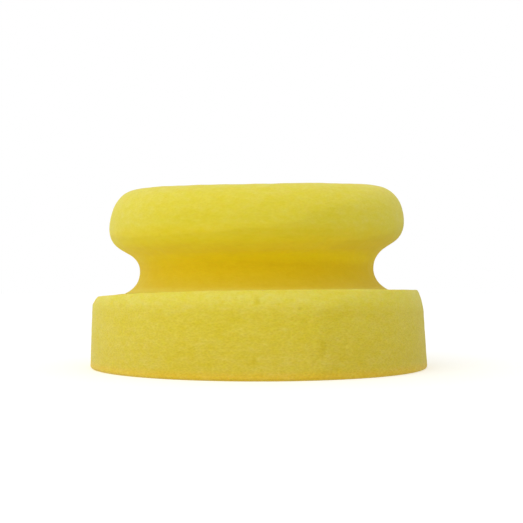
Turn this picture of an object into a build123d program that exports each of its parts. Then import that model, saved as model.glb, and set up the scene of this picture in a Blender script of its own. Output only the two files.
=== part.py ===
from build123d import *
import math
import os

# Round foam hand applicator, standing on its working face. A soft open-cell pad lays the paint on. A firmer
# foam grip, waisted by a finger groove that runs all the way round, is bonded to the pad's back by a thin
# adhesive film. Every piece is a solid of revolution.
# Units are millimetres. +Z points from the working face to the grip, and the origin is the centre of the
# working face.

# ---- Driving dimensions ----

OVERALL_HEIGHT = 58.8

# Applicator pad: a disc whose wall leans in slightly towards its back
PAD_RADIUS = 55.0
PAD_BACK_RADIUS = 53.8
PAD_THICKNESS = 24.6
PAD_BACK_EDGE = 3.0
PAD_FACE_EDGE = 0.6

# Adhesive film between pad and grip, kept just inside the grip's foot
FILM_THICKNESS = 0.3
FILM_INSET = 0.5

# Foam grip: foot, finger groove, neck, and the rounded disc that the fingers hook under
FOOT_RADIUS = 42.0
NECK_RADIUS = 38.6
GROOVE_RADIUS = 7.6
GROOVE_HEIGHT = 31.6
LIP_RADIUS = 7.9
DISC_RADIUS = 48.4
DISC_WIDEST_HEIGHT = 46.5
TOP_EDGE_WIDTH = 11.0

# ---- Worked-out dimensions ----

FOOT_HEIGHT = PAD_THICKNESS + FILM_THICKNESS
FILM_RADIUS = FOOT_RADIUS - FILM_INSET

# The groove's arc starts at the top of the foot's low upright edge
groove_centre_radius = NECK_RADIUS + GROOVE_RADIUS
foot_angle = math.degrees(math.acos((groove_centre_radius - FOOT_RADIUS) / GROOVE_RADIUS))

# The disc's sloping underside is the straight line that touches both the groove's arc and the lip's arc
centre_run = DISC_RADIUS - LIP_RADIUS - groove_centre_radius
centre_rise = DISC_WIDEST_HEIGHT - GROOVE_HEIGHT
centre_distance = math.hypot(centre_run, centre_rise)
touching_distance = LIP_RADIUS + GROOVE_RADIUS
underside_turn = math.asin(touching_distance / centre_distance)
underside_slope = math.degrees(math.atan2(centre_rise, centre_run) - underside_turn)
underside_length = math.sqrt(centre_distance**2 - touching_distance**2)

os.makedirs("parts", exist_ok=True)

# ---- Applicator pad ----

with BuildPart() as applicator_pad:
    with BuildSketch(Plane.XZ):
        with BuildLine():
            Polyline(
                (0, 0),
                (PAD_RADIUS, 0),
                (PAD_BACK_RADIUS, PAD_THICKNESS),
                (0, PAD_THICKNESS),
                close=True,
            )
        make_face()
    revolve(axis=Axis.Z)
    fillet(applicator_pad.edges().group_by(Axis.Z)[-1], radius=PAD_BACK_EDGE)
    fillet(applicator_pad.edges().group_by(Axis.Z)[0], radius=PAD_FACE_EDGE)

# ---- Adhesive film ----

with BuildPart() as adhesive_film:
    with BuildSketch(Plane.XY.offset(PAD_THICKNESS)):
        Circle(FILM_RADIUS)
    extrude(amount=FILM_THICKNESS)

# ---- Foam grip ----

with BuildPart() as foam_grip:
    with BuildSketch(Plane.XZ):
        with BuildLine():
            groove = CenterArc(
                (groove_centre_radius, GROOVE_HEIGHT),
                GROOVE_RADIUS,
                start_angle=180 + foot_angle,
                arc_size=-(foot_angle + 90 - underside_slope),
            )
            underside = PolarLine(groove @ 1, underside_length, angle=underside_slope)
            lip = JernArc(underside @ 1, underside % 1, LIP_RADIUS, 90 - underside_slope)
            top_edge = EllipticalCenterArc(
                (DISC_RADIUS - TOP_EDGE_WIDTH, DISC_WIDEST_HEIGHT),
                TOP_EDGE_WIDTH,
                OVERALL_HEIGHT - DISC_WIDEST_HEIGHT,
                start_angle=0,
                arc_size=90,
            )
            Polyline(
                top_edge @ 1,
                (0, OVERALL_HEIGHT),
                (0, FOOT_HEIGHT),
                (FOOT_RADIUS, FOOT_HEIGHT),
                groove @ 0,
            )
        make_face()
    revolve(axis=Axis.Z)

# ---- One file for each piece ----

applicator_pad.part.label = "applicator_pad"
adhesive_film.part.label = "adhesive_film"
foam_grip.part.label = "foam_grip"

export_step(applicator_pad.part, "parts/applicator_pad.step")
export_step(adhesive_film.part, "parts/adhesive_film.step")
export_step(foam_grip.part, "parts/foam_grip.step")
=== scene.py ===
import math

import bpy
import numpy as np
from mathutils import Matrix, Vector, noise


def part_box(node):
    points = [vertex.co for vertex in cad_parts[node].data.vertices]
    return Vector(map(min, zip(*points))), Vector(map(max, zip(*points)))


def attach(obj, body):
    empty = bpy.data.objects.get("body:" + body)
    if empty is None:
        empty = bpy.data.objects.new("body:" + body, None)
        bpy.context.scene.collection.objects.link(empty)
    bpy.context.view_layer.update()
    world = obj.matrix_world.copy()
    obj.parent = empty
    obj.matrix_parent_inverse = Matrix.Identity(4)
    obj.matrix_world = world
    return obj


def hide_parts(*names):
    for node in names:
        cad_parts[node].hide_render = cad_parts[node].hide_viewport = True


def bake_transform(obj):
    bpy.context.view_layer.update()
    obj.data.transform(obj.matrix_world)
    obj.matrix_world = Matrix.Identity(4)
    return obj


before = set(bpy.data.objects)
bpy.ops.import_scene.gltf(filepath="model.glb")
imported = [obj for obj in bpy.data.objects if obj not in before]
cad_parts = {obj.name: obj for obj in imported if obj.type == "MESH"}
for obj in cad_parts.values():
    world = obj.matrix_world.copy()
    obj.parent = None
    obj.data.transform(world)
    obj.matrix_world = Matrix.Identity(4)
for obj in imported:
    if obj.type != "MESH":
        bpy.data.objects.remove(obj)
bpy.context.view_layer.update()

# A round foam hand applicator: a soft pad, a film of adhesive and a firmer, waisted grip. The foam pieces are
# lathed ring by ring, leant and worn a little out of true as cut foam is, and roughened along their normals.
# The camera is in front, at -Y and level with the pad's back, and left and right below are as it sees them.
# theta is the angle round the object, 0 on its right and growing towards its back.

MM = 0.001

# ---- Sizes read from the frame ----

_, pad_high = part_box("applicator_pad")
film_low, film_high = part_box("adhesive_film")
_, grip_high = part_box("foam_grip")

PAD_RADIUS = pad_high.x
PAD_THICKNESS = pad_high.z
FILM_THICKNESS = film_high.z - film_low.z
FILM_RADIUS = film_high.x
DISC_RADIUS = grip_high.x

# ---- Shape of the pad ----

PAD_BACK_RADIUS = 53.8 * MM
PAD_FACE_EDGE = 0.9 * MM
PAD_LEAN_LEFT = 0.46 * MM
PAD_SLOPE = math.radians(0.7)

# The pad's shoulder: a short worn chamfer on the left, a long soft curve with a crisp top on the right
SHOULDER_WIDTH = 1.6 * MM
SHOULDER_DROP_LEFT = 2.6 * MM
SHOULDER_DROP_RIGHT = 7.0 * MM
SHOULDER_POWER_LEFT = 1.2
SHOULDER_POWER_RIGHT = 1.45

# Wear towards the rim of the pad's back
WORN_DEPTH_LEFT = 1.3 * MM
WORN_DEPTH_RIGHT = 0.3 * MM
WORN_WIDTH = 15 * MM

# The pad's rim stands proud front and back, and its back is drawn down by the film's thickness under the grip
RIM_RISE = 0.3 * MM
RIM_WIDTH = 3 * MM
RECESS_EDGE = 0.8 * MM

# ---- Shape of the grip ----

FOOT_RADIUS = 43.3 * MM
FOOT_EDGE = 0.06 * MM
FLARE_HEIGHT = 3 * MM
NECK_RADIUS = 38.6 * MM
GROOVE_RADIUS = 7.7 * MM
GROOVE_HEIGHT = 31.6 * MM
LIP_RADIUS = 7.9 * MM
DISC_WIDEST_HEIGHT = 46.5 * MM
TOP_HEIGHT = 58.3 * MM
EDGE_WIDTH_LEFT = 10.1 * MM
EDGE_WIDTH_RIGHT = 13.0 * MM
EDGE_POWER_LEFT = 2.14
EDGE_POWER_RIGHT = 2.32

# The grip sits a little askew on the pad. Its disc leans forward, dips at the front, at the back and in the
# middle, and its lip hangs lower on the left
GRIP_TILT = math.radians(1.05)
GRIP_LEAN = math.radians(2.1)
GRIP_SHIFT = -0.68 * MM
TOP_SADDLE = 0.95 * MM
TOP_DISH = 0.75 * MM
LEAN_FROM = 24.5 * MM
LEAN_TO = 44 * MM
LIP_SAG = 0.75 * MM

# ---- Fineness of the meshes: lengths between rings, and turns between them in degrees ----

COLUMNS = 640
FEWEST_COLUMNS = 5
PAD_FACE_STEP = 1.1 * MM
PAD_FACE_EDGE_TURNS = (-60, -30, 0)
PAD_WALL_STEP = 0.42 * MM
PAD_SHOULDER_TURN = 5
PAD_BACK_STEP = 0.62 * MM
HIDDEN_STEP = 2.5 * MM
GRIP_STEP = 0.5 * MM
TOP_EDGE_TURN = 2.2
TOP_STEP = 0.7 * MM
FILM_COLUMNS = 240
FILM_SHARES = (0.25, 0.5, 0.75, 1.0)


def smoothstep(value, low, high):
    t = np.clip((value - low) / (high - low), 0, 1)
    return t * t * (3 - 2 * t)


def steps(start, stop, size):
    """Evenly spaced values from start to stop, both included, about size apart."""
    return np.linspace(start, stop, max(2, round(abs(stop - start) / size) + 1))


def from_left_to_right(theta, left, right):
    """A value that goes from left, on the left side of the object, to right on its right."""
    return left + (right - left) * (1 + np.cos(theta)) / 2


# ---- Lathe ----


def ring_angles(radius, full_radius):
    """Angles of a ring's points. The count halves each time the radius does, so the spacing stays even."""
    halvings = int(math.log2(max(full_radius / radius, 1)))
    count = max(COLUMNS >> halvings, FEWEST_COLUMNS)
    return np.arange(count) * (2 * math.pi / count)


FULL_RING = ring_angles(1, 1)


def stitch(lower, upper):
    """Faces between two rings of vertex numbers. One may have twice the other's points, or be a pole."""
    if len(upper) == 1:
        return [(a, b, upper[0]) for a, b in zip(lower, np.roll(lower, -1))]
    if len(lower) == 1:
        return [(lower[0], b, a) for a, b in zip(upper, np.roll(upper, -1))]
    if len(lower) == len(upper):
        return list(zip(lower, np.roll(lower, -1), np.roll(upper, -1), upper))
    if len(lower) > len(upper):
        even, odd = lower[::2], lower[1::2]
        corners = list(zip(even, odd, upper))
        return corners + list(zip(odd, np.roll(even, -1), np.roll(upper, -1), upper))
    even, odd = upper[::2], upper[1::2]
    corners = list(zip(np.roll(lower, -1), np.roll(even, -1), odd))
    return corners + list(zip(lower, np.roll(lower, -1), odd, even))


def lathed(name, rings):
    """A closed mesh object from rings of points, given from its bottom pole to its top pole."""
    numbers = np.split(np.arange(sum(map(len, rings))), np.cumsum([len(ring) for ring in rings])[:-1])
    faces = []
    for lower, upper in zip(numbers, numbers[1:]):
        faces += [tuple(int(v) for v in face) for face in stitch(lower, upper)]
    mesh = bpy.data.meshes.new(name)
    mesh.from_pydata(np.concatenate(rings).tolist(), [], faces)
    mesh.polygons.foreach_set("use_smooth", [True] * len(mesh.polygons))
    mesh.update()
    piece = bpy.data.objects.new(name, mesh)
    bpy.context.scene.collection.objects.link(piece)
    return piece


# ---- Foam pad ----


def foot_height(radius, theta):
    """Height of the grip's glued face, and of the pad's back where the two meet at the foot's rim.

    It is higher on the right, and worn down along the left and a little along the right.
    """
    left = np.clip(-np.cos(theta), 0, 1) ** 3
    right = np.clip(np.cos(theta), 0, 1) ** 3
    worn = WORN_DEPTH_LEFT * left + WORN_DEPTH_RIGHT * right
    worn = worn * smoothstep(radius, PAD_BACK_RADIUS - WORN_WIDTH, PAD_BACK_RADIUS)
    return PAD_THICKNESS + radius * np.cos(theta) * math.tan(PAD_SLOPE) - worn


def pad_back_height(radius, theta):
    rim = smoothstep(radius, FOOT_RADIUS, PAD_BACK_RADIUS - RIM_WIDTH)
    recess = 1 - smoothstep(radius, FOOT_RADIUS - RECESS_EDGE, FOOT_RADIUS)
    return foot_height(radius, theta) + RIM_RISE * np.sin(theta) ** 2 * rim - FILM_THICKNESS * recess


def pad_wall_radius(height):
    return PAD_RADIUS - (PAD_RADIUS - PAD_BACK_RADIUS) * height / PAD_THICKNESS


def pad_point(radius, height, theta):
    """Points of the pad at those angles, with the lean that the pad takes towards the left as it rises."""
    x = radius * np.cos(theta) - PAD_LEAN_LEFT * height / PAD_THICKNESS
    return np.stack([x, radius * np.sin(theta), height + 0 * theta], axis=1)


def pad_face_rings():
    """The flat working face, from its middle out, and the small round of its edge."""
    rings = [np.array([[0.0, 0.0, 0.0]])]
    face_radius = PAD_RADIUS - PAD_FACE_EDGE
    for radius in steps(0, face_radius, PAD_FACE_STEP)[1:]:
        rings.append(pad_point(radius, 0.0, ring_angles(radius, face_radius)))
    for turn in np.radians(PAD_FACE_EDGE_TURNS):
        radius = face_radius + PAD_FACE_EDGE * math.cos(turn)
        rings.append(pad_point(radius, PAD_FACE_EDGE * (1 + math.sin(turn)), FULL_RING))
    return rings


def pad_wall_rings():
    """The coned wall, and the shoulder that rounds it into the pad's back."""
    drop = from_left_to_right(FULL_RING, SHOULDER_DROP_LEFT, SHOULDER_DROP_RIGHT)
    power = from_left_to_right(FULL_RING, SHOULDER_POWER_LEFT, SHOULDER_POWER_RIGHT)
    rim = PAD_BACK_RADIUS - SHOULDER_WIDTH
    shoulder = pad_back_height(rim, FULL_RING) - drop
    width = pad_wall_radius(shoulder) - rim
    rings = []
    for share in steps(0, 1, PAD_WALL_STEP / PAD_THICKNESS)[1:]:
        height = PAD_FACE_EDGE + share * (shoulder - PAD_FACE_EDGE)
        rings.append(pad_point(pad_wall_radius(height), height, FULL_RING))
    for turn in np.radians(steps(0, 90, PAD_SHOULDER_TURN))[1:]:
        radius = rim + width * math.cos(turn) ** (2 / power)
        rings.append(pad_point(radius, shoulder + drop * math.sin(turn) ** (2 / power), FULL_RING))
    return rings


def pad_back_rings():
    """The back, from its rim in: the part that shows, then the part under the film."""
    rings = []
    for radius in steps(PAD_BACK_RADIUS - SHOULDER_WIDTH, FILM_RADIUS, PAD_BACK_STEP)[1:]:
        rings.append(pad_point(radius, pad_back_height(radius, FULL_RING), FULL_RING))
    for radius in steps(FILM_RADIUS, 0, HIDDEN_STEP)[1:-1]:
        theta = ring_angles(radius, FILM_RADIUS)
        rings.append(pad_point(radius, pad_back_height(radius, theta), theta))
    return rings + [np.array([[-PAD_LEAN_LEFT, 0.0, PAD_THICKNESS - FILM_THICKNESS]])]


# ---- Foam grip ----


def grip_waist():
    """(radius, height) points from the foot's upright edge up the finger groove and round the disc's lip."""
    centre_radius = NECK_RADIUS + GROOVE_RADIUS
    lip_centre_radius = DISC_RADIUS - LIP_RADIUS
    run = lip_centre_radius - centre_radius
    rise = DISC_WIDEST_HEIGHT - GROOVE_HEIGHT
    slope = math.atan2(rise, run) - math.asin((LIP_RADIUS + GROOVE_RADIUS) / math.hypot(run, rise))
    foot_turn = math.acos((centre_radius - FOOT_RADIUS) / GROOVE_RADIUS)
    points = []
    for turn in steps(math.pi + foot_turn, math.pi / 2 + slope, GRIP_STEP / GROOVE_RADIUS):
        radius = centre_radius + GROOVE_RADIUS * math.cos(turn)
        points.append((radius, GROOVE_HEIGHT + GROOVE_RADIUS * math.sin(turn)))
    lip = []
    for turn in steps(slope - math.pi / 2, 0, GRIP_STEP / LIP_RADIUS):
        radius = lip_centre_radius + LIP_RADIUS * math.cos(turn)
        lip.append((radius, DISC_WIDEST_HEIGHT + LIP_RADIUS * math.sin(turn)))
    start, stop = np.array(points[-1]), np.array(lip[0])
    shares = steps(0, 1, GRIP_STEP / math.dist(start, stop))[1:-1]
    return points + [start + share * (stop - start) for share in shares] + lip


def grip_point(radius, height, theta):
    """Places points of the grip's upright shape, with the tilt, lean, dip and sag that it has on the pad."""
    x, y = radius * np.cos(theta), radius * np.sin(theta)
    above = smoothstep(height, LEAN_FROM, LEAN_TO)
    top = smoothstep(height, DISC_WIDEST_HEIGHT, TOP_HEIGHT)
    under = smoothstep(height, GROOVE_HEIGHT, GROOVE_HEIGHT + GROOVE_RADIUS)
    under = under * (1 - smoothstep(height, LEAN_TO, TOP_HEIGHT))
    z = height + x * math.tan(GRIP_TILT) + y * math.tan(GRIP_LEAN) * above
    z = z + top * TOP_SADDLE * (x * x - y * y) / DISC_RADIUS**2
    z = z - top * TOP_DISH * (1 - (radius / DISC_RADIUS) ** 2)
    z = z - under * from_left_to_right(theta, LIP_SAG, 0)
    return np.stack([x + GRIP_SHIFT, y, z + 0 * theta], axis=1)


def glued_height(radius, theta):
    """Height at which the upright shape meets the glue plane once grip_point has tilted it."""
    return foot_height(radius, theta) - radius * np.cos(theta) * math.tan(GRIP_TILT)


def grip_foot_rings():
    """The glued face, from its middle out."""
    rings = [np.array([[GRIP_SHIFT, 0.0, PAD_THICKNESS]])]
    for radius in steps(0, FOOT_RADIUS, HIDDEN_STEP)[1:]:
        theta = ring_angles(radius, DISC_RADIUS)
        rings.append(grip_point(radius, glued_height(radius, theta), theta))
    return rings


def grip_waist_rings():
    """The groove and lip, where the lowest part flares to meet the pad all round."""
    waist = grip_waist()
    lowest = waist[0][1]
    lift = glued_height(FOOT_RADIUS, FULL_RING) + FOOT_EDGE - lowest
    rings = []
    for radius, height in waist:
        flare = 1 - smoothstep(height, lowest, lowest + FLARE_HEIGHT)
        rings.append(grip_point(radius, height + lift * flare, FULL_RING))
    return rings


def grip_top_rings():
    """The disc's rounded top edge, fuller on the right, and its top."""
    width = from_left_to_right(FULL_RING, EDGE_WIDTH_LEFT, EDGE_WIDTH_RIGHT)
    power = from_left_to_right(FULL_RING, EDGE_POWER_LEFT, EDGE_POWER_RIGHT)
    rise = TOP_HEIGHT - DISC_WIDEST_HEIGHT
    rings = []
    for turn in np.radians(steps(0, 90, TOP_EDGE_TURN))[1:]:
        radius = DISC_RADIUS - width * (1 - math.cos(turn) ** (2 / power))
        height = DISC_WIDEST_HEIGHT + rise * math.sin(turn) ** (2 / power)
        rings.append(grip_point(radius, height, FULL_RING))
    flat = DISC_RADIUS - width
    for share in steps(1, 0, TOP_STEP / DISC_RADIUS)[1:-1]:
        theta = ring_angles(share, 1)
        radius = np.interp(theta, FULL_RING, flat, period=2 * math.pi) * share
        rings.append(grip_point(radius, np.full_like(theta, TOP_HEIGHT), theta))
    return rings + [grip_point(np.zeros(1), np.full(1, TOP_HEIGHT), np.zeros(1))]


# ---- Adhesive film ----

# How far the film's rim lies inside its CAD radius on average, and the circle of noise that makes it ragged
FILM_SLACK = 0.25 * MM
FILM_RAG_RADIUS = 9
FILM_RAG_HEIGHT = 3.7


def film_rings():
    """A thin disc that follows the pad's back, with a slightly ragged rim."""
    theta = np.arange(FILM_COLUMNS) * (2 * math.pi / FILM_COLUMNS)
    circle = FILM_RAG_RADIUS * np.stack([np.cos(theta), np.sin(theta)], axis=1)
    rag = np.array([noise.noise(Vector((x, y, FILM_RAG_HEIGHT))) for x, y in circle])
    rim = FILM_RADIUS - FILM_SLACK * (1 + rag)
    bottom = np.array([[-PAD_LEAN_LEFT, 0.0, PAD_THICKNESS - FILM_THICKNESS]])
    rings = [bottom]
    for lift, shares in ((0, FILM_SHARES), (FILM_THICKNESS, FILM_SHARES[::-1])):
        for share in shares:
            rings.append(pad_point(rim * share, pad_back_height(rim * share, theta) + lift, theta))
    return rings + [bottom + [0.0, 0.0, FILM_THICKNESS]]


# ---- Roughening ----

RIPPLE_SIZE = 14 * MM
GRAIN_SIZE = 1.6 * MM
NOISE_STRIDE = (17.3, 5.1, 9.7)
NOISE_FALLOFF = 0.6
NOISE_LACUNARITY = 2.1

# Burst cells: their length, depth and reach through the foam as shares of their half width, and how much of
# the roughness a place must have to hold one
PIT_STRETCH = (1.0, 2.2)
PIT_DEPTH = (0.25, 0.5)
PIT_REACH = 3
PITTED_FROM = 0.5

# Where roughness fades in: above the pad's face, beyond the grip's foot, and up from the foot
FACE_FADE = (0.3 * MM, 1.5 * MM)
FOOT_FADE = (0.5 * MM, 2.5 * MM)
RISE_FADE = (1.2 * MM, 3 * MM)


def vectors_of(elements, field):
    """A mesh's points or normals as rows of a table."""
    values = np.zeros(len(elements) * 3, np.float32)
    elements.foreach_get(field, values)
    return values.reshape(-1, 3).astype(float)


def ripple(points, size, seed, octaves):
    """Smooth noise from about -1 to 1, with features of that size."""
    offset = Vector([seed * stride for stride in NOISE_STRIDE])
    places = (Vector(point) / size + offset for point in points)
    return np.array([noise.fractal(place, NOISE_FALLOFF, NOISE_LACUNARITY, octaves) for place in places])


def pits(points, normals, where, count, sizes, seed):
    """Depth of burst cells scattered over the surface: short dents, longer one way, with steep sides."""
    rng = np.random.default_rng(seed)
    depth = np.zeros(len(points))
    for number in rng.choice(np.flatnonzero(where), count, replace=False):
        centre, normal = points[number], normals[number]
        along = np.cross(normal, rng.normal(size=3))
        along /= np.linalg.norm(along)
        across = np.cross(normal, along)
        half = rng.uniform(*sizes)
        stretch = rng.uniform(*PIT_STRETCH)
        offset = points - centre
        reach = np.sqrt((offset @ along / (half * stretch)) ** 2 + (offset @ across / half) ** 2)
        reach = np.maximum(reach, np.abs(offset @ normal) / (PIT_REACH * half))
        depth = np.maximum(depth, half * rng.uniform(*PIT_DEPTH) * np.exp(-(reach**3)))
    return depth


def roughen(piece, shown, ripples, grain, pit_count, pit_sizes, pits_above, seed):
    """Moves a piece's points along their normals, by ripples and grain of those depths and by pits.

    The function shown says how much each point moves, from 0 to 1.
    """
    points = vectors_of(piece.data.vertices, "co")
    normals = vectors_of(piece.data.vertex_normals, "vector")
    share = shown(points)
    move = ripples * ripple(points, RIPPLE_SIZE, seed, octaves=3)
    move += grain * ripple(points, GRAIN_SIZE, seed + 1, octaves=2)
    pitted = (share > PITTED_FROM) & (points[:, 2] > pits_above)
    move -= pits(points, normals, pitted, pit_count, pit_sizes, seed + 2)
    points += normals * (move * share)[:, None]
    piece.data.vertices.foreach_set("co", points.astype(np.float32).ravel())
    piece.data.update()


def pad_shown(points):
    """1 on the pad's wall and back, 0 on the face it stands on and under the grip."""
    radius = np.hypot(points[:, 0], points[:, 1])
    return smoothstep(points[:, 2], *FACE_FADE) * smoothstep(radius - FOOT_RADIUS, *FOOT_FADE)


def grip_shown(points):
    """1 everywhere but the glued foot."""
    return smoothstep(points[:, 2] - PAD_THICKNESS, *RISE_FADE)


# ---- Materials ----

# Each foam's colours by height, from the bottom of the piece to its top, hold painted light and shade. On the
# pad: a deeper orange band of painted bounce light along the working face's edge, painted shade low on its
# wall, and paler towards its back where light from above falls
PAD_COLOURS_WITH_PAINTED_LIGHT = [
    (0.5 * MM, (0.89, 0.61, 0.04)),
    (3.4 * MM, (0.81, 0.645, 0.055)),
    (17.0 * MM, (0.845, 0.69, 0.055)),
    (24.0 * MM, (0.92, 0.79, 0.095)),
]
# On the grip: painted shade at the foot and in the finger groove, painted light from below on the lip's
# underside, and paler on top where light from above falls
GRIP_COLOURS_WITH_PAINTED_LIGHT = [
    (24.8 * MM, (0.84, 0.655, 0.035)),
    (26.2 * MM, (0.79, 0.58, 0.014)),
    (31.5 * MM, (0.835, 0.607, 0.003)),
    (35.5 * MM, (0.96, 0.75, 0.0)),
    (38.5 * MM, (0.975, 0.77, 0.012)),
    (41.5 * MM, (0.905, 0.73, 0.03)),
    (45 * MM, (0.885, 0.75, 0.055)),
    (56 * MM, (0.94, 0.80, 0.07)),
]

# Cells and stains are flatter than they are wide, and the few deep cells are taller
CELL_FLATNESS = 2.2
DEEP_CELL_FLATNESS = 0.6

# The dust's size beside the cells', the mean of their relief, and how much of their shade is always left
DUST_SIZE = 0.9
MEAN_RELIEF = 0.98
LEAST_SHADE = 0.35

MOTTLE_SIZE = 3 * MM
MOTTLE_DEPTH = 0.32
CLOUD_SIZE = 14 * MM
CLOUD_DEPTH = 0.16

# How strongly cells and stains show in red, green and blue: dirt and depth take away blue first
CELL_POWERS = (0.8, 1.0, 3.0)
STAIN_POWERS = (0.3, 0.4, 6.0)

# Deep cells: how far apart they are in their own widths, where one fades, how rare they are, and their tint
DEEP_CELL_SPACING = 3
DEEP_CELL_EDGE = (0.20, 0.06)
DEEP_CELL_RARITY = (0.5, 0.9)
DEEP_CELL_TINT = (0.88, 0.84, 0.30)


class Graph:
    """A new material's node tree, with short ways to add nodes to it."""

    def __init__(self, name):
        self.material = bpy.data.materials.new(name)
        self.material.use_nodes = True
        self.nodes = self.material.node_tree.nodes
        self.links = self.material.node_tree.links
        self.shader = self.nodes["Principled BSDF"]

    def feed(self, socket, value):
        """Sets a socket to a plain number or colour, or links another node's output to it."""
        if isinstance(value, (int, float)):
            socket.default_value = value
        elif isinstance(value, tuple):
            socket.default_value = (*value, 1)
        else:
            self.links.new(value, socket)

    def finish(self, **settings):
        """Sets constants on the shader, given with _ for each space of the socket's name."""
        for name, value in settings.items():
            self.shader.inputs[name.replace("_", " ")].default_value = value
        return self.material

    def calc(self, operation, *values):
        node = self.nodes.new("ShaderNodeMath")
        node.operation = operation
        for socket, value in zip(node.inputs, values):
            self.feed(socket, value)
        return node.outputs[0]

    def smooth_range(self, value, low, high):
        """A smooth ramp from 0 at low to 1 at high, held beyond them. Low may be the greater of the two."""
        node = self.nodes.new("ShaderNodeMapRange")
        node.interpolation_type = "SMOOTHSTEP"
        self.feed(node.inputs["From Min"], low)
        self.feed(node.inputs["From Max"], high)
        self.feed(node.inputs["Value"], value)
        return node.outputs["Result"]

    def blend(self, kind, factor, first, second):
        node = self.nodes.new("ShaderNodeMix")
        node.data_type = "RGBA"
        node.blend_type = kind
        self.feed(node.inputs["Factor"], factor)
        self.feed(node.inputs[6], first)
        self.feed(node.inputs[7], second)
        return node.outputs[2]

    def place(self, flatness=1.0):
        """The point on the object, with Z stretched so that a texture comes out flatter by that much."""
        node = self.nodes.new("ShaderNodeMapping")
        node.inputs["Scale"].default_value = (1, 1, flatness)
        self.links.new(self.nodes.new("ShaderNodeTexCoord").outputs["Object"], node.inputs["Vector"])
        return node.outputs["Vector"]

    def split(self, kind, value):
        """The separate axes or channels of a vector or colour."""
        node = self.nodes.new(kind)
        self.links.new(value, node.inputs[0])
        return node.outputs

    def texture(self, kind, size, place, **settings):
        node = self.nodes.new(kind)
        node.inputs["Scale"].default_value = 1 / size
        for name, value in settings.items():
            node.inputs[name].default_value = value
        self.links.new(place, node.inputs["Vector"])
        return node.outputs


def colour_and_painted_light_by_height(graph, colours_with_painted_light, face_radius):
    """The foam's colour with painted light and shade, by height. On the underside, the distance in from
    face_radius counts as height too.
    """
    x, y, z = graph.split("ShaderNodeSeparateXYZ", graph.place())
    across = graph.calc("SQRT", graph.calc("ADD", graph.calc("POWER", x, 2.0), graph.calc("POWER", y, 2.0)))
    inward = graph.calc("MAXIMUM", graph.calc("SUBTRACT", face_radius, across), 0.0)
    height = graph.calc("ADD", z, inward)
    colour = colours_with_painted_light[0][1]
    for (low, _), (high, upper) in zip(colours_with_painted_light, colours_with_painted_light[1:]):
        colour = graph.blend("MIX", graph.smooth_range(height, low, high), colour, upper)
    return colour


def cell_relief(graph, cell):
    """Height of the open cells and of the finer dust of their broken walls."""
    place = graph.place(CELL_FLATNESS)
    cells = graph.texture("ShaderNodeTexVoronoi", cell, place)
    dust = graph.texture("ShaderNodeTexNoise", cell * DUST_SIZE, place, Detail=2.0, Roughness=0.7)
    return graph.calc("ADD", cells["Distance"], dust["Fac"])


def cell_shade(graph, relief, depth, smooth_at, open_at):
    """How much lighter or darker each cell is: fully at the height open_at, and least at smooth_at."""
    z = graph.split("ShaderNodeSeparateXYZ", graph.place())["Z"]
    open_cells = graph.smooth_range(z, smooth_at, open_at)
    depth = graph.calc("MULTIPLY_ADD", open_cells, (1 - LEAST_SHADE) * depth, LEAST_SHADE * depth)
    return graph.calc("MULTIPLY_ADD", graph.calc("SUBTRACT", relief, MEAN_RELIEF), depth, 1.0)


def stain_shade(graph):
    """Mottling and broad clouds."""
    place = graph.place(CELL_FLATNESS)
    mottle = graph.texture("ShaderNodeTexNoise", MOTTLE_SIZE, place, Detail=3.0, Roughness=0.6)
    cloud = graph.texture("ShaderNodeTexNoise", CLOUD_SIZE, place, Detail=2.0, Roughness=0.5)
    shade = 1.0
    for stain, depth in ((mottle, MOTTLE_DEPTH), (cloud, CLOUD_DEPTH)):
        shade = graph.calc("MULTIPLY_ADD", graph.calc("SUBTRACT", stain["Fac"], 0.5), depth, shade)
    return shade


def deep_cells(graph, size, strength):
    """Where a few wide cells look deeper than the rest."""
    wide = graph.texture("ShaderNodeTexVoronoi", size * DEEP_CELL_SPACING, graph.place(DEEP_CELL_FLATNESS))
    deep = graph.smooth_range(wide["Distance"], *DEEP_CELL_EDGE)
    chance = graph.split("ShaderNodeSeparateColor", wide["Color"])["Red"]
    deep = graph.calc("MULTIPLY", deep, graph.smooth_range(chance, *DEEP_CELL_RARITY))
    return graph.calc("MULTIPLY", deep, strength)


def foam(
    name, colours_with_painted_light, face_radius, cell, cell_depth, bump_depth, deep_cell, deep_strength, smooth_at, open_at
):
    """Open-cell foam: fine cells and broken cell walls, stained at larger scales, with a few deep cells."""
    graph = Graph(name)
    relief = cell_relief(graph, cell)
    cells = cell_shade(graph, relief, cell_depth, smooth_at, open_at)
    stains = stain_shade(graph)
    shade = graph.nodes.new("ShaderNodeCombineColor")
    for socket, cell_power, stain_power in zip(shade.inputs, CELL_POWERS, STAIN_POWERS):
        from_cells = graph.calc("POWER", cells, cell_power)
        from_stains = graph.calc("POWER", stains, stain_power)
        graph.feed(socket, graph.calc("MULTIPLY", from_cells, from_stains))
    # The colour by height paints light and shade into the foam: shade in the groove and low down, light on
    # the lip's underside and top
    colour = colour_and_painted_light_by_height(graph, colours_with_painted_light, face_radius)
    colour = graph.blend("MULTIPLY", 1.0, colour, shade.outputs["Color"])
    colour = graph.blend("MULTIPLY", deep_cells(graph, deep_cell, deep_strength), colour, DEEP_CELL_TINT)
    graph.feed(graph.shader.inputs["Base Color"], colour)

    bump = graph.nodes.new("ShaderNodeBump")
    bump.inputs["Strength"].default_value = 0.6
    bump.inputs["Distance"].default_value = bump_depth
    graph.feed(bump.inputs["Height"], relief)
    graph.feed(graph.shader.inputs["Normal"], bump.outputs["Normal"])
    return graph.finish(
        Roughness=0.9,
        Specular_IOR_Level=0.2,
        Sheen_Weight=0.2,
        Sheen_Roughness=0.5,
        Subsurface_Weight=0.3,
        Subsurface_Radius=(1.0, 0.7, 0.18),
        Subsurface_Scale=1.5 * MM,
    )


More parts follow.
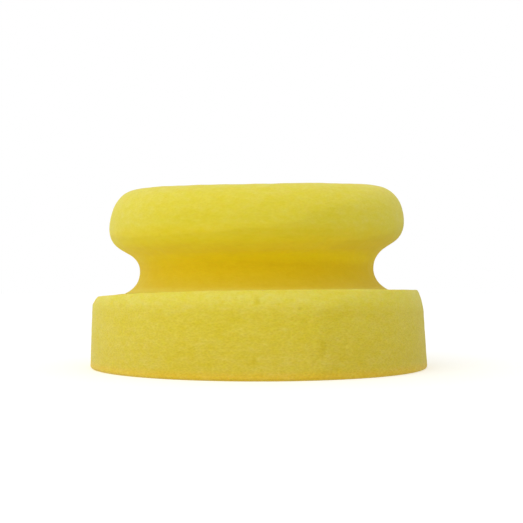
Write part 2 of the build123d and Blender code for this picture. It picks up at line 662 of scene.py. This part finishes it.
def pad_foam():
    return foam(
        "pad_foam",
        PAD_COLOURS_WITH_PAINTED_LIGHT,
        face_radius=PAD_BACK_RADIUS,
        cell=0.90 * MM,
        cell_depth=0.19,
        bump_depth=0.15 * MM,
        deep_cell=2.2 * MM,
        deep_strength=1.0,
        smooth_at=27 * MM,
        open_at=14 * MM,
    )


def grip_foam():
    return foam(
        "grip_foam",
        GRIP_COLOURS_WITH_PAINTED_LIGHT,
        face_radius=0.0,
        cell=0.95 * MM,
        cell_depth=0.085,
        bump_depth=0.06 * MM,
        deep_cell=1.6 * MM,
        deep_strength=0.3,
        smooth_at=38 * MM,
        open_at=50 * MM,
    )


ADHESIVE_PATCH = 1.5 * MM
ADHESIVE_COLOURS = ((0.42, 0.27, 0.05), (0.62, 0.45, 0.11))


def adhesive():
    """Dried contact adhesive: amber, unevenly spread, with a dull gloss."""
    graph = Graph("adhesive_film")
    spread = graph.texture("ShaderNodeTexNoise", ADHESIVE_PATCH, graph.place())
    colour = graph.blend("MIX", spread["Fac"], *ADHESIVE_COLOURS)
    graph.feed(graph.shader.inputs["Base Color"], colour)
    return graph.finish(Roughness=0.45)


def paper_white():
    """Matt white that glows a little, so that it stays pale in the shade of the object."""
    return Graph("floor").finish(
        Base_Color=(0.9, 0.9, 0.9, 1),
        Roughness=1.0,
        Specular_IOR_Level=0.0,
        Emission_Color=(1, 1, 1, 1),
        Emission_Strength=0.36,
    )


# ---- The object ----

pad = lathed("pad_foam_body", pad_face_rings() + pad_wall_rings() + pad_back_rings())
roughen(
    pad,
    pad_shown,
    ripples=0.10 * MM,
    grain=0.04 * MM,
    pit_count=160,
    pit_sizes=(0.3 * MM, 0.6 * MM),
    pits_above=0.0,
    seed=11,
)
pad.data.materials.append(pad_foam())
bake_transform(pad)
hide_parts("applicator_pad")

film = lathed("adhesive_film_sheet", film_rings())
film.data.materials.append(adhesive())
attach(film, "grip")
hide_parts("adhesive_film")

grip = lathed("grip_foam_body", grip_foot_rings() + grip_waist_rings() + grip_top_rings())
roughen(
    grip,
    grip_shown,
    ripples=0.16 * MM,
    grain=0.02 * MM,
    pit_count=34,
    pit_sizes=(0.25 * MM, 0.45 * MM),
    pits_above=LEAN_TO,
    seed=23,
)
grip.data.materials.append(grip_foam())
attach(grip, "grip")
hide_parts("foam_grip")

# ---- Floor, light and camera ----

FLOOR_SIZE = 12.0

KEY_PLACE = Vector((-0.60, -0.75, 0.80))
KEY_TARGET = Vector((0, 0, 0.03))
KEY_SIZE = 0.8
KEY_POWER = 1.3

# Light from all round, and how much more of it comes from the left, the front and above
ROOM_STRENGTH = 0.745
ROOM_SLOPE = (-0.21, -0.08, 0.03)

# The camera's distance is set by how wide the pad looks from it: the radius over the distance
PAD_SPREAD = 0.18
CAMERA_DISTANCE = PAD_RADIUS / PAD_SPREAD
CAMERA_HEIGHT = 24.8 * MM
CAMERA_LENS = 63.2
CAMERA_AIM = Vector((0.85 * MM, 0, 34.45 * MM))


def add_to_scene(name, data, place, target):
    """An object that looks from place at target."""
    holder = bpy.data.objects.new(name, data)
    holder.location = place
    holder.rotation_euler = (target - place).to_track_quat("-Z", "Y").to_euler()
    bpy.context.scene.collection.objects.link(holder)
    return holder


def floor():
    """A plain floor that takes the object's shadow and throws no light back on it."""
    mesh = bpy.data.meshes.new("floor")
    half = FLOOR_SIZE / 2
    corners = [(-half, -half, 0), (half, -half, 0), (half, half, 0), (-half, half, 0)]
    mesh.from_pydata(corners, [], [(0, 1, 2, 3)])
    mesh.materials.append(paper_white())
    sheet = bpy.data.objects.new("floor", mesh)
    bpy.context.scene.collection.objects.link(sheet)
    sheet.visible_diffuse = False


def key_light():
    lamp = bpy.data.lights.new("key", "AREA")
    lamp.shape = "DISK"
    lamp.size = KEY_SIZE
    lamp.energy = KEY_POWER
    add_to_scene("key", lamp, KEY_PLACE, KEY_TARGET)


def room_light():
    """Soft light from all round, stronger along the slope, in front of a plain white background."""
    world = bpy.data.worlds.new("room")
    world.use_nodes = True
    bpy.context.scene.world = world
    nodes, links = world.node_tree.nodes, world.node_tree.links
    light = nodes["Background"]
    seen = nodes.new("ShaderNodeBackground")
    for source in (light, seen):
        source.inputs["Color"].default_value = (1, 1, 1, 1)
    direction = nodes.new("ShaderNodeTexCoord")
    along = nodes.new("ShaderNodeVectorMath")
    along.operation = "DOT_PRODUCT"
    along.inputs[1].default_value = ROOM_SLOPE
    links.new(direction.outputs["Generated"], along.inputs[0])
    level = nodes.new("ShaderNodeMath")
    level.operation = "MULTIPLY_ADD"
    level.inputs[1].default_value = ROOM_STRENGTH
    level.inputs[2].default_value = ROOM_STRENGTH
    links.new(along.outputs["Value"], level.inputs[0])
    links.new(level.outputs["Value"], light.inputs["Strength"])
    path = nodes.new("ShaderNodeLightPath")
    mix = nodes.new("ShaderNodeMixShader")
    links.new(path.outputs["Is Camera Ray"], mix.inputs["Fac"])
    links.new(light.outputs["Background"], mix.inputs[1])
    links.new(seen.outputs["Background"], mix.inputs[2])
    links.new(mix.outputs["Shader"], nodes["World Output"].inputs["Surface"])


def camera():
    data = bpy.data.cameras.new("camera")
    data.lens = CAMERA_LENS
    data.sensor_width = 36
    data.clip_start = 0.01
    eye = Vector((0, -CAMERA_DISTANCE, CAMERA_HEIGHT))
    bpy.context.scene.camera = add_to_scene("camera", data, eye, CAMERA_AIM)


floor()
room_light()
key_light()
camera()
bpy.context.scene.view_settings.view_transform = "Standard"
